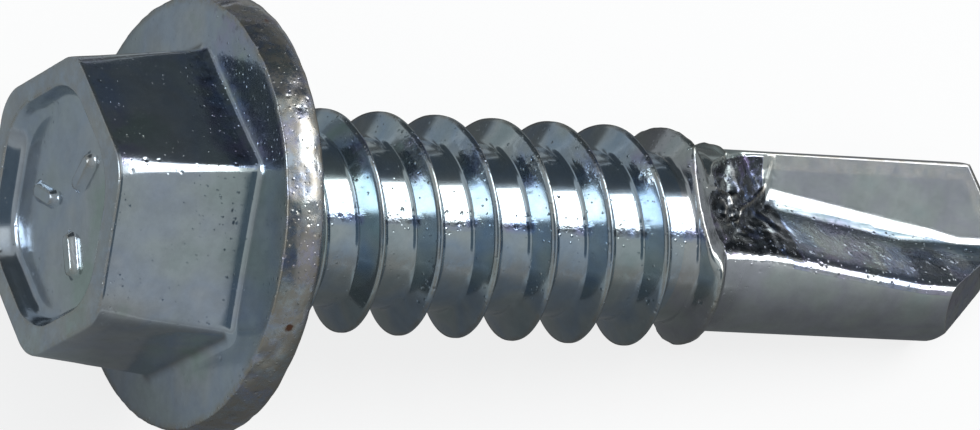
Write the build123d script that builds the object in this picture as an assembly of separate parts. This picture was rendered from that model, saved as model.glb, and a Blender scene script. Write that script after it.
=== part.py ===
from build123d import *
import os
from math import acos, asin, atan, atan2, ceil, cos, degrees, hypot, radians, sin, tan

# Hex washer head self drilling screw, 1/4-14 x 1 inch, forged and rolled from one piece of steel wire.
# It is built about its own axis, with the bearing face of the flange at Z = 0 and the point at +Z,
# and is then laid down on the plane Z = 0 as it comes to rest: on the flange rim and over one flute.
# All lengths are in millimetres, all angles in degrees. Turns about the axis are measured from +X
# towards +Y, so the cutting face of the first lip looks along +Y.

# Flange
FLANGE_DIAMETER = 12.22     # at the bearing face
FLANGE_RIM = 1.37           # mean thickness at the rim
FLANGE_SLOPE = 1.5          # the front face rises towards the hexagon
FLANGE_LEAN = 1.9           # the front face is forged out of square, so the rim is thin towards +Y
RIM_TAPER = 5.0             # the rim narrows towards the head
RIM_REAR_ROUND = 0.24
RIM_FRONT_ROUND = 0.06

# Hexagon
HEX_ACROSS_FLATS = 8.17     # at the foot of the head
HEX_TOP = 5.34              # height of the head above the bearing face
HEX_DRAFT = 3.9
HEX_CORNER_FOOT = 0.40      # the corners are rounded like this at the foot of the head,
HEX_CORNER_TOP = 1.30       # and like this at its top
HEX_TOP_ROUND = 0.11
HEX_FOOT_ROUND = 0.30
HEX_TURN = 15.3             # turn of the first corner

# Recess in the top of the head
RECESS_ACROSS_FLATS = 6.34
RECESS_DEPTH = 0.57
RECESS_DRAFT = 20.0
RECESS_CORNER_ROUND = 1.95
RECESS_SHIFT_X = 0.02       # the punch is a little off the middle of the head
RECESS_SHIFT_Y = -0.08
MARK_COUNT = 3              # plain raised bars on the recess floor
MARK_LENGTH = 1.25
MARK_WIDTH = 0.46
MARK_HEIGHT = 0.20
MARK_RADIUS = 1.35          # from the axis to the middle of a bar
MARK_TURN = 45.0

# Thread and shank
PITCH = 25.4 / 14
THREAD_DIAMETER = 6.21
ROOT_DIAMETER = 4.78
CREST_WIDTH = 0.10
FLANK_ANGLE = 30.0          # half of the thread angle
THREAD_START = 0.40         # first trace of the thread, from the bearing face
THREAD_LEAD_IN = 0.70       # length over which it grows to its full height
THREAD_FADE = 13.65         # the envelope of the thread begins to close in here
THREAD_END = 16.51          # and ends here, sunk into the drill body
THREAD_TURN = 138.2         # turn of the helix at the bearing face
UNDERHEAD_CLEAR = 0.04      # the round under the flange ends this far outside the thread's crest

# Drill point
DRILL_DIAMETER = 5.18
DRILL_START = 14.70         # the drill body has its full diameter from here to the point
DRILL_NECK = 0.35           # length of the cone between the thread root and the drill body
DRILL_CORNER = 23.80        # from the bearing face to the outer corner of a cutting lip
WEB = 1.16                  # distance between the planes of the two cutting faces
LIP_ANGLE = 59.0            # half of the point angle
LIP_RELIEF = 12.0
HEEL_RELIEF = 42.0          # the flank falls away more steeply behind this second edge,
HEEL_OFFSET = 0.30          # which lies this far past the axis, parallel to the lip
NOSE_START = 22.83          # a cone blunts the corner of the second lip, from here to the point,
NOSE_ANGLE = 42.4           # with this half angle
NOSE_OFFSET = 0.46          # and its axis this far towards the first lip
VALLEY_STATION = 17.07      # the valley depth below holds at this distance from the bearing face
VALLEY_OFFSET = 1.17        # from the axis to the foot of the flute wall
VALLEY_SLOPE = 8.7          # the valley runs nearer to the axis towards the point
FLUTE_WALL = 51.0           # turn of the flute wall's normal from that of the cutting face
FLUTE_ROUND_BACK = 0.95     # valley radius at the back end of the flute
FLUTE_ROUND_TIP = 0.25      # valley radius at the point
RAMP_SLOPE = 26.8           # the pinched end of the flute runs up to the surface
RAMP_TURN = 19.7            # turn of the ramp's normal from that of the cutting face
RAMP_START = 13.78          # where the ramp reaches the drill diameter

# A cutter reaches this far outside the part, and a fused piece this far into the next
CLEAR = 4.0
SUNK = 0.20

FLANGE_RADIUS = FLANGE_DIAMETER / 2
THREAD_RADIUS = THREAD_DIAMETER / 2
ROOT_RADIUS = ROOT_DIAMETER / 2
DRILL_RADIUS = DRILL_DIAMETER / 2
LIP_OFFSET = WEB / 2
MARGIN_REACH = (DRILL_RADIUS**2 - LIP_OFFSET**2) ** 0.5
LIP_LEAD = MARGIN_REACH / tan(radians(LIP_ANGLE))
TIP = DRILL_CORNER + LIP_LEAD - LIP_OFFSET * tan(radians(LIP_RELIEF))
UNDERHEAD_ROUND = THREAD_RADIUS - ROOT_RADIUS + UNDERHEAD_CLEAR
NOSE_HEIGHT = (DRILL_RADIUS + NOSE_OFFSET) / tan(radians(NOSE_ANGLE))


def direction(turn):
    """Unit vector across the axis at the given turn from +X towards +Y."""
    return Vector(cos(radians(turn)), sin(radians(turn)), 0)


def turned(outline, rounds):
    """Solid of revolution about the axis from a closed outline of (radius, station) points."""
    half = make_face(Polyline(*outline, close=True))
    for corner, radius in rounds:
        near = half.vertices().sort_by_distance(Vector(*corner))[0]
        half = fillet(near, radius)
    return revolve(Plane.XZ * half, axis=Axis.Z)


def flange():
    """The washer face under the hexagon: a leaning disc, cut square at the bearing face."""
    front_radius = FLANGE_RADIUS - FLANGE_RIM * tan(radians(RIM_TAPER))
    back_radius = FLANGE_RADIUS + FLANGE_RIM * tan(radians(RIM_TAPER))
    cone_top = FLANGE_RIM + front_radius * tan(radians(FLANGE_SLOPE))
    rim_front = (front_radius, -FLANGE_RIM)
    outline = [(0, -cone_top), rim_front, (back_radius, FLANGE_RIM), (0, FLANGE_RIM)]
    disc = Rot(FLANGE_LEAN, 0, 0) * turned(outline, [(rim_front, RIM_FRONT_ROUND)])
    size = 4 * FLANGE_RADIUS
    disc &= Box(size, size, size, align=(Align.CENTER, Align.CENTER, Align.MAX))
    bearing = disc.faces().sort_by(Axis.Z)[-1]
    return fillet(bearing.edges(), RIM_REAR_ROUND)


def shank():
    """The shank at the thread root, from inside the flange to past the point, with the drill body."""
    foot_radius = ROOT_RADIUS + 2 * UNDERHEAD_ROUND
    inner_corner = (ROOT_RADIUS, 0)
    outline = [
        (0, -FLANGE_RIM / 2),
        (foot_radius, -FLANGE_RIM / 2),
        (foot_radius, 0),
        inner_corner,
        (ROOT_RADIUS, DRILL_START - DRILL_NECK),
        (DRILL_RADIUS, DRILL_START),
        (DRILL_RADIUS, TIP + CLEAR),
        (0, TIP + CLEAR),
    ]
    return turned(outline, [(inner_corner, UNDERHEAD_ROUND)])


def hexagon(across_flats, corner_round, station):
    """Rounded hexagon across the axis at one station, its first corner at HEX_TURN."""
    outline = RegularPolygon(across_flats / 2, side_count=6, major_radius=False)
    seat = Plane(origin=(0, 0, station), x_dir=direction(HEX_TURN), z_dir=(0, 0, 1))
    return seat * fillet(outline.vertices(), corner_round)


def head():
    """The drafted hexagon, sunk into the flange, with its top edge rounded."""
    sunk = FLANGE_RIM / 2
    slope = 2 * tan(radians(HEX_DRAFT))
    foot_across = HEX_ACROSS_FLATS + (FLANGE_RIM - sunk) * slope
    top_across = HEX_ACROSS_FLATS - (HEX_TOP - FLANGE_RIM) * slope
    foot = hexagon(foot_across, HEX_CORNER_FOOT, -sunk)
    top = hexagon(top_across, HEX_CORNER_TOP, -HEX_TOP)
    body = loft([foot, top], ruled=True)
    return fillet(body.faces().sort_by(Axis.Z)[0].edges(), HEX_TOP_ROUND)


def recess():
    """The pocket that the forging punch leaves in the top of the head, less its raised bars."""
    floor = RECESS_DEPTH - HEX_TOP
    floor_across = RECESS_ACROSS_FLATS - 2 * RECESS_DEPTH * tan(radians(RECESS_DRAFT))
    floor_round = RECESS_CORNER_ROUND * floor_across / RECESS_ACROSS_FLATS
    mouth = hexagon(RECESS_ACROSS_FLATS, RECESS_CORNER_ROUND, -HEX_TOP)
    pocket = loft([mouth, hexagon(floor_across, floor_round, floor)], ruled=True)
    pocket = Pos(RECESS_SHIFT_X, RECESS_SHIFT_Y, 0) * pocket
    bar = SlotOverall(MARK_LENGTH, MARK_WIDTH)
    for index in range(MARK_COUNT):
        turn = MARK_TURN + 360 * index / MARK_COUNT
        middle = direction(turn) * MARK_RADIUS + Vector(0, 0, floor)
        seat = Plane(origin=middle, x_dir=direction(turn), z_dir=(0, 0, -1))
        pocket -= extrude(seat * bar, MARK_HEIGHT)
    return pocket


def thread():
    """One turn of 60 degree thread after another, faded in and out by a turned envelope."""
    half_crest = CREST_WIDTH / 2
    half_foot = half_crest + (THREAD_RADIUS - ROOT_RADIUS + SUNK) * tan(radians(FLANK_ANGLE))
    foot_radius = ROOT_RADIUS - SUNK
    profile = Plane.XZ * make_face(
        Polyline(
            (foot_radius, -half_foot),
            (THREAD_RADIUS, -half_crest),
            (THREAD_RADIUS, half_crest),
            (foot_radius, half_foot),
            close=True,
        )
    )
    turns = ceil(THREAD_END / PITCH) + 2
    path = Wire([Pos(0, 0, turn * PITCH) * Helix(PITCH, PITCH, ROOT_RADIUS) for turn in range(turns)])
    ridge = Pos(0, 0, -PITCH) * Rot(0, 0, THREAD_TURN) * sweep(profile, path=path, is_frenet=True)
    envelope = Polyline(
        (0, THREAD_START),
        (ROOT_RADIUS - SUNK, THREAD_START),
        (THREAD_RADIUS + SUNK, THREAD_START + THREAD_LEAD_IN),
        (THREAD_RADIUS + SUNK, THREAD_FADE),
        ((ROOT_RADIUS + DRILL_RADIUS) / 2, THREAD_END),
        (0, THREAD_END),
        close=True,
    )
    return ridge & revolve(Plane.XZ * make_face(envelope), axis=Axis.Z)


def flute_section(station, valley_round):
    """The open side of a flute at one station: cutting face, rounded valley and flute wall."""
    foot = VALLEY_OFFSET - (station - VALLEY_STATION) * tan(radians(VALLEY_SLOPE))
    lean = radians(FLUTE_WALL)
    reach = FLANGE_RADIUS + CLEAR
    setback = valley_round * tan(lean / 2)
    face_end = Vector(foot + setback, LIP_OFFSET)
    wall_start = Vector(foot - setback * cos(lean), LIP_OFFSET + setback * sin(lean))
    wall_end = Vector(foot - reach * cos(lean), LIP_OFFSET + reach * sin(lean))
    face_out = Vector(foot + reach, LIP_OFFSET)
    outline = [
        Line(face_out, face_end),
        TangentArc(face_end, wall_start, tangent=(-1, 0)),
        Line(wall_start, wall_end),
        Line(wall_end, Vector(face_out.X, wall_end.Y)),
        Line(Vector(face_out.X, wall_end.Y), face_out),
    ]
    return Plane.XY.offset(station) * make_face(outline)


def flute():
    """A flute as pinched by the point dies, with the ramp that closes its back end."""
    back = flute_section(RAMP_START - CLEAR, FLUTE_ROUND_BACK)
    front = flute_section(TIP + CLEAR, FLUTE_ROUND_TIP)
    groove = loft([back, front], ruled=True)
    facing = direction(90 - RAMP_TURN)
    lean = radians(RAMP_SLOPE)
    outward = facing * cos(lean) + Vector(0, 0, sin(lean))
    across = direction(-RAMP_TURN)
    ramp = Plane(origin=facing * DRILL_RADIUS + Vector(0, 0, RAMP_START), x_dir=across, z_dir=outward)
    size = 2 * (TIP + CLEAR)
    return groove & ramp * Box(size, size, size, align=(Align.CENTER, Align.CENTER, Align.MIN))


def flank_plane(edge_offset, edge_station, relief):
    """Plane through a line parallel to the lip, falling away behind it by the relief angle."""
    lip = Vector(-sin(radians(LIP_ANGLE)), 0, cos(radians(LIP_ANGLE)))
    trailing = Vector(0, -cos(radians(relief)), -sin(radians(relief)))
    return Plane(origin=(MARGIN_REACH, edge_offset, edge_station), x_dir=lip, z_dir=lip.cross(trailing))


def flank():
    """What is taken off in front of one lip: the point angle with its relief, then the heel."""
    heel_edge = DRILL_CORNER - (LIP_OFFSET + HEEL_OFFSET) * tan(radians(LIP_RELIEF))
    size = 4 * (DRILL_RADIUS + CLEAR)
    waste = Box(size, size, size, align=(Align.CENTER, Align.CENTER, Align.MIN))
    front = flank_plane(LIP_OFFSET, DRILL_CORNER, LIP_RELIEF) * waste
    heel = flank_plane(-HEEL_OFFSET, heel_edge, HEEL_RELIEF) * waste
    return front + heel


def nose():
    """What lies outside the blunting cone, from the height where it leaves the drill body."""
    size = 4 * (DRILL_RADIUS + CLEAR)
    outside = Box(size, size, size, align=(Align.CENTER, Align.CENTER, Align.MIN))
    cone = Cone(DRILL_RADIUS + NOSE_OFFSET, 0, NOSE_HEIGHT, align=(Align.CENTER, Align.CENTER, Align.MIN))
    return Pos(0, 0, NOSE_START) * (outside - Pos(NOSE_OFFSET, 0, 0) * cone)


def drive():
    """The flange and hexagon in one piece, with the round between them and the recess."""
    washer = flange()
    block = head()
    body = washer + block
    body = fillet(new_edges(washer, block, combined=body), HEX_FOOT_ROUND)
    return body - recess()


def screw():
    """The whole screw about its own axis."""
    body = shank() + thread()
    for half_turn in (0, 180):
        body -= Rot(0, 0, half_turn) * flute()
        body -= Rot(0, 0, half_turn) * flank()
    return body - nose() + drive()


def heel_corner():
    """Station and turn of the first flute's heel, where the flute wall, land and flank meet."""
    station = DRILL_CORNER
    for _ in range(40):
        foot = VALLEY_OFFSET - (station - VALLEY_STATION) * tan(radians(VALLEY_SLOPE))
        wall = foot * sin(radians(FLUTE_WALL)) + LIP_OFFSET * cos(radians(FLUTE_WALL))
        turn = radians(180 - FLUTE_WALL) - asin(wall / DRILL_RADIUS)
        along_lip = MARGIN_REACH + DRILL_RADIUS * cos(turn)
        behind_edge = DRILL_RADIUS * sin(turn) - HEEL_OFFSET
        station = (
            DRILL_CORNER
            + along_lip / tan(radians(LIP_ANGLE))
            - (LIP_OFFSET + HEEL_OFFSET) * tan(radians(LIP_RELIEF))
            - behind_edge * tan(radians(HEEL_RELIEF))
        )
    return station, degrees(turn)


def rest():
    """Plane that lays the screw down: on its rim and on the two open corners of its second flute."""
    heel_station, heel_turn = heel_corner()
    heel_turn = radians(180 + heel_turn)
    lip_turn = radians(180) + atan2(LIP_OFFSET, MARGIN_REACH)
    blunted = hypot(MARGIN_REACH + NOSE_OFFSET, LIP_OFFSET) / tan(radians(NOSE_ANGLE))
    lip = NOSE_START + NOSE_HEIGHT - blunted + RIM_REAR_ROUND
    heel = heel_station + RIM_REAR_ROUND
    cosine = DRILL_RADIUS * (heel * cos(lip_turn) - lip * cos(heel_turn))
    sine = DRILL_RADIUS * (heel * sin(lip_turn) - lip * sin(heel_turn))
    drop = FLANGE_RADIUS * (lip - heel)
    upward = atan2(sine, cosine) - acos(drop / hypot(cosine, sine))
    tilt = atan((FLANGE_RADIUS + DRILL_RADIUS * cos(lip_turn - upward)) / lip)
    upright = Vector(sin(tilt), 0, cos(tilt))
    return Plane(
        origin=(0, 0, 0),
        x_dir=upright * cos(upward) + Vector(0, 1, 0) * sin(upward),
        z_dir=(cos(tilt), 0, -sin(tilt)),
    )


def laid(body):
    """The screw at rest on Z = 0, its point towards +X, with the middle of its base at the origin."""
    body = rest() * body
    box = body.bounding_box()
    return Pos(-(box.min.X + box.max.X) / 2, -(box.min.Y + box.max.Y) / 2, -box.min.Z) * body


os.makedirs("parts", exist_ok=True)
finished = laid(screw())
finished.label = "screw"
export_step(finished, "parts/screw.step")
print("screw", finished.volume, finished.bounding_box(), len(finished.solids()), finished.is_valid)
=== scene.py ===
from math import atan, cos, degrees, pi, radians, sin, tan

import bmesh
import bpy
import numpy as np
from mathutils import Matrix, Vector, noise


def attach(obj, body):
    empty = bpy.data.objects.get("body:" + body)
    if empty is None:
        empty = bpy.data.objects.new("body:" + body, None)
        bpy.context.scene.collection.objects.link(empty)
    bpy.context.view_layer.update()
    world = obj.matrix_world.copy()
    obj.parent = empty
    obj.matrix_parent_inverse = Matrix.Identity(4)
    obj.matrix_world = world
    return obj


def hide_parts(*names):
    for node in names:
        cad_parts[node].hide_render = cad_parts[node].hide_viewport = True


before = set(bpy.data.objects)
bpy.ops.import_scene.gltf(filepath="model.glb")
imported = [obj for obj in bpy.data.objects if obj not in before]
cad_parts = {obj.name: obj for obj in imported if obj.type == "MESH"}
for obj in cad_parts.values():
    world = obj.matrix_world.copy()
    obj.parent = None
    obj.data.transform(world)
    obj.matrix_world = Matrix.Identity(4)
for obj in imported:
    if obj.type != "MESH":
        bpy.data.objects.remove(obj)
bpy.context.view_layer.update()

# The head. A cold forged hexagon with a rounded top edge and a shallow punched pocket, on a flange
# that the dies left a little out of square. The pocket holds three plain raised bars.
FLANGE_RADIUS, FLANGE_RIM = 6.11, 1.37
FLANGE_SLOPE, FLANGE_LEAN = tan(radians(1.5)), radians(1.9)
REAR_ROUND, FRONT_ROUND = 0.24, 0.06
RIM_TAPER, RIM_CROWN, CROWN_SKEW = tan(radians(5.0)), 0.1535, 0.8
HEX_APOTHEM, HEX_TOP, HEX_DRAFT = 4.085, 5.34, tan(radians(3.9))
HEX_CORNER_FOOT, HEX_CORNER_TOP = 0.40, 1.30
FOOT_ROUND, FOOT_HALF_BEND, TOP_ROUND = 0.30, radians(43.0), 0.11
POCKET_APOTHEM, POCKET_CORNER = 3.17, 1.95
POCKET_SHIFT = (0.02, -0.08)
POCKET_DEPTH, POCKET_DRAFT = 0.57, tan(radians(20.0))
MOUTH_ROUND, FLOOR_ROUND = 0.07, 0.24
BARS, BAR_RADIUS, BAR_TURN = 3, 1.35, 45.0
BAR_LENGTH, BAR_WIDTH, BAR_HEIGHT, BAR_EDGE = 1.25, 0.46, 0.20, 0.16
# Depth of the dents at some distances from the axis: over the flats, and at the rim.
DENT_SIZE, DENTS = 0.55, ((3.4, 4.0, 4.8, 5.8, 6.0), (0, 0.008, 0.008, 0, 0.035))
# The round under the flange, which the thread grows out of.
UNDERHEAD, ROOT_RADIUS, THREAD_START = 0.755, 2.39, 0.22
# The screw is built up from rows of points about its own axis, in millimetres, as in the part's
# source: the bearing face of the flange is at 0 along the axis, the head below it and the point
# above. All rows have as many columns, and on the head these gather at its six rounded corners.
COLUMNS, FIRST_TURN = 264, 15.3
CORNER_COLUMNS, CORNER_SPAN = 6, 4.0

near_corner = np.linspace(0, CORNER_SPAN, CORNER_COLUMNS + 1)
flat_turns = np.linspace(CORNER_SPAN, 60 - CORNER_SPAN, COLUMNS // 6 - 2 * CORNER_COLUMNS + 1)
side_turns = np.concatenate([near_corner[:-1], flat_turns, 60 - near_corner[-2:0:-1]])
corner_columns = FIRST_TURN + (np.arange(6)[:, None] * 60 + side_turns[None, :]).ravel()
even_columns = FIRST_TURN + np.arange(COLUMNS) * 360 / COLUMNS


def ring(turns, radius, station):
    """One closed row of points round the axis."""
    turns = np.radians(turns)
    radius = radius + 0 * turns
    return np.stack([radius * np.cos(turns), radius * np.sin(turns), station + 0 * turns], 1)


def hexagon(turns, apothem, corner):
    """Distance from the axis to a rounded hexagon, at each turn."""
    off_middle = np.abs((turns - FIRST_TURN) % 60 - 30)
    flat = apothem / np.cos(np.radians(off_middle))
    centre = (apothem - corner) / cos(radians(30))
    off_corner = np.radians(30 - off_middle)
    beside = centre * np.sin(off_corner)
    bent = centre * np.cos(off_corner) + np.sqrt(np.maximum(corner**2 - beside**2, 0))
    on_corner = apothem * np.tan(np.radians(off_middle)) > (apothem - corner) * tan(radians(30))
    return np.where(on_corner, bent, flat)


def leaned(points):
    """Points of the flange's own disc, turned with the lean of its front face."""
    x, y, z = points.T
    cosine, sine = cos(FLANGE_LEAN), sin(FLANGE_LEAN)
    return np.stack([x, y * cosine - z * sine, y * sine + z * cosine], 1)


def front_face(points):
    """The same points, moved along the axis onto the flange's front face."""
    x, y, _ = points.T
    rise = FLANGE_RIM + (FLANGE_RADIUS - FLANGE_RIM * RIM_TAPER - np.hypot(x, y)) * FLANGE_SLOPE
    return np.stack([x, y, y * tan(FLANGE_LEAN) - rise / cos(FLANGE_LEAN)], 1)


# The round under the flange, and the bearing face.
head_rings = []
for share in np.linspace(0, 1, 6)[:-1]:
    rise = THREAD_START * (1 - share)**2
    reach = ROOT_RADIUS + UNDERHEAD - (UNDERHEAD**2 - (UNDERHEAD - rise)**2)**0.5
    head_rings.append(ring(even_columns, reach, rise))
for share in (0, 0.3, 0.6, 0.85, 1):
    columns = even_columns + share * (corner_columns - even_columns)
    inner, outer = ROOT_RADIUS + UNDERHEAD, FLANGE_RADIUS - REAR_ROUND
    head_rings.append(ring(columns, inner + share * (outer - inner), 0))
# The rim, crowned between its two rounded edges.
rim_row = len(head_rings)
cut = -FLANGE_RADIUS * np.sin(np.radians(corner_columns)) * tan(FLANGE_LEAN)
rear_reach = FLANGE_RADIUS + cut * RIM_TAPER
head_rings[-1] = ring(corner_columns, rear_reach - REAR_ROUND, 0)
for turn in np.radians((22, 45, 67, 90)):
    reach = rear_reach - REAR_ROUND * (1 - sin(turn))
    head_rings.append(ring(corner_columns, reach, -REAR_ROUND * (1 - cos(turn))))
front_reach = FLANGE_RADIUS - FLANGE_RIM * RIM_TAPER
rim_front = leaned(ring(corner_columns, front_reach, FRONT_ROUND - FLANGE_RIM))
rim_rear = head_rings[-1]
for share in np.linspace(0, 1, 12)[1:]:
    row = rim_rear + share * (rim_front - rim_rear)
    crown = FLANGE_RIM * RIM_CROWN * share**CROWN_SKEW * (1 - share)
    row[:, :2] *= 1 + crown / FLANGE_RADIUS
    head_rings.append(row)
for turn in np.radians((30, 60, 90)):
    reach = front_reach - FRONT_ROUND * (1 - cos(turn))
    station = FRONT_ROUND - FLANGE_RIM - FRONT_ROUND * sin(turn)
    head_rings.append(leaned(ring(corner_columns, reach, station)))
# The flange's front face, and the hollow round at the foot of the hexagon.
disc_edge = head_rings[-1]
foot_set = FOOT_ROUND * tan(FOOT_HALF_BEND)
foot_reach = hexagon(corner_columns, HEX_APOTHEM + foot_set, HEX_CORNER_FOOT + foot_set)
foot = front_face(ring(corner_columns, foot_reach, 0))
for share in (0.12, 0.3, 0.5, 0.7, 0.88, 1):
    head_rings.append(disc_edge + share * (foot - disc_edge))
foot_height = foot[:, 2]
for turn in np.radians((22, 45, 67, 90)):
    out, up = foot_set * (1 - sin(turn)), foot_set * (1 - cos(turn))
    reach = hexagon(corner_columns, HEX_APOTHEM - up * HEX_DRAFT + out, HEX_CORNER_FOOT + out)
    head_rings.append(ring(corner_columns, reach, foot_height - up))
# The drafted flats, and the rounded top edge.
side_foot = head_rings[-1]
top_apothem = HEX_APOTHEM - (HEX_TOP - FLANGE_RIM) * HEX_DRAFT
shoulder_apothem = top_apothem + TOP_ROUND * HEX_DRAFT
shoulder_reach = hexagon(corner_columns, shoulder_apothem, HEX_CORNER_TOP)
shoulder = ring(corner_columns, shoulder_reach, TOP_ROUND - HEX_TOP)
for share in np.linspace(0, 1, 9)[1:]:
    head_rings.append(side_foot + share * (shoulder - side_foot))
for turn in np.radians((18, 36, 54, 72, 90)):
    inward = TOP_ROUND * (1 - cos(turn))
    reach = hexagon(corner_columns, shoulder_apothem - inward, HEX_CORNER_TOP - inward)
    head_rings.append(ring(corner_columns, reach, TOP_ROUND - HEX_TOP - TOP_ROUND * sin(turn)))
land_edge = head_rings[-1]


def pocket(depth, wider=0.0):
    """Outline of the pocket at one depth below the top of the head."""
    apothem = POCKET_APOTHEM + wider - depth * POCKET_DRAFT
    reach = hexagon(corner_columns, apothem, POCKET_CORNER + wider)
    outline = ring(corner_columns, reach, depth - HEX_TOP)
    outline[:, :2] += POCKET_SHIFT
    return outline


def rounded(start, corner, end, steps):
    """Rows that turn from one row to another round a row between them."""
    shares = np.linspace(0, 1, steps + 1)[1:]
    return [(1 - t)**2 * start + 2 * t * (1 - t) * corner + t**2 * end for t in shares]


# The pocket's rounded mouth, its wall, and the hollow round at its floor.
mouth = pocket(0, MOUTH_ROUND)
for share in (0.33, 0.66, 1):
    head_rings.append(land_edge + share * (mouth - land_edge))
head_rings += rounded(mouth, pocket(0), pocket(MOUTH_ROUND), 3)
wall_top, wall_foot = head_rings[-1], pocket(POCKET_DEPTH - FLOOR_ROUND)
for share in (0.5, 1):
    head_rings.append(wall_top + share * (wall_foot - wall_top))
floor_edge = pocket(POCKET_DEPTH, -FLOOR_ROUND)
head_rings += rounded(wall_foot, pocket(POCKET_DEPTH), floor_edge, 5)
# Its floor, whose rows turn from a hexagon to circles, and the bars on it.
floor_turns = np.degrees(np.arctan2(floor_edge[:, 1], floor_edge[:, 0]))
floor_reach = np.hypot(floor_edge[:, 0], floor_edge[:, 1])
for share in 1 - np.linspace(0, 1, 36)[1:-1]:
    roundness = np.clip((1 - share) * 1.6, 0, 1)
    reach = share * (roundness * floor_reach.mean() + (1 - roundness) * floor_reach)
    row = ring(floor_turns, reach, POCKET_DEPTH - HEX_TOP)
    height = np.zeros(COLUMNS)
    for bar in range(BARS):
        turn = radians(BAR_TURN + 360 * bar / BARS)
        along = row[:, 0] * cos(turn) + row[:, 1] * sin(turn) - BAR_RADIUS
        across = -row[:, 0] * sin(turn) + row[:, 1] * cos(turn)
        over = np.maximum(np.abs(along) - (BAR_LENGTH - BAR_WIDTH) / 2, 0)
        inside = BAR_WIDTH / 2 - np.hypot(over, across)
        step = np.clip(inside / BAR_EDGE + 0.5, 0, 1)
        height = np.maximum(height, BAR_HEIGHT * step**2 * (3 - 2 * step))
    row[:, 2] -= height
    head_rings.append(row)
head_pole = np.array([[0, 0, POCKET_DEPTH - HEX_TOP]])
# The rim is knocked about by other screws in the box, and the flats by the wrench: mostly inwards.
for row in head_rings[rim_row:]:
    reach = np.hypot(row[:, 0], row[:, 1])
    depth = np.interp(reach, *DENTS)
    for place in np.flatnonzero(depth > 0):
        knock = noise.fractal(Vector(row[place]) / DENT_SIZE, 0.8, 2.0, 3)
        row[place, :2] *= 1 + depth[place] * min(knock, 0.3) / reach[place]

# The threaded shank. The thread is rolled into the wire between two flat dies, so its crest is a
# narrow burnished land and its root a smooth cylinder. It grows out of the round under the flange.
# Its lead in and its fade run on by SUNK, below the root and past the crest.
CREST_RADIUS, LEAD_IN, SUNK = 3.105, 0.70, 0.20
THREAD = {
    "Pitch": 25.4 / 14,
    "Helix Turn": 138.2 / 360,
    "First Column": FIRST_TURN / 360,
    "Root Radius": ROOT_RADIUS,
    "Root Blend": 0.06,
    "Crest Radius": CREST_RADIUS,
    "Crest Width": 0.08,
    "Flank Tangent": tan(radians(30)),
    "Underhead Round": UNDERHEAD,
    "Start": THREAD_START,
    "End": 13.40,
    "Lead In Start": 0.40,
    "Lead In Radius": ROOT_RADIUS - SUNK,
    "Lead In Slope": (CREST_RADIUS - ROOT_RADIUS + 2 * SUNK) / LEAD_IN,
    "Lead In Blend": 0.1,
    "Windings": 9,
    "Columns": COLUMNS,
    "Rows in a Turn": 14,
    "Wander": 0.012,
    "Seed": 7.0,
}
WHOLE = "Windings", "Columns", "Rows in a Turn"


def add(tree, kind, inputs, **settings):
    """Adds a node with its settings, and sets or links its inputs."""
    made = tree.nodes.new(kind)
    for name, value in settings.items():
        setattr(made, name, value)
    for key, value in inputs.items():
        if isinstance(value, bpy.types.NodeSocket):
            tree.links.new(value, made.inputs[key])
        else:
            made.inputs[key].default_value = value
    return made


def colour(text):
    """Linear colour from an sRGB hex value."""
    parts = [int(text[place:place + 2], 16) / 255 for place in (1, 3, 5)]
    linear = [part / 12.92 if part <= 0.04045 else ((part + 0.055) / 1.055)**2.4 for part in parts]
    return [*linear, 1.0]


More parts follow.
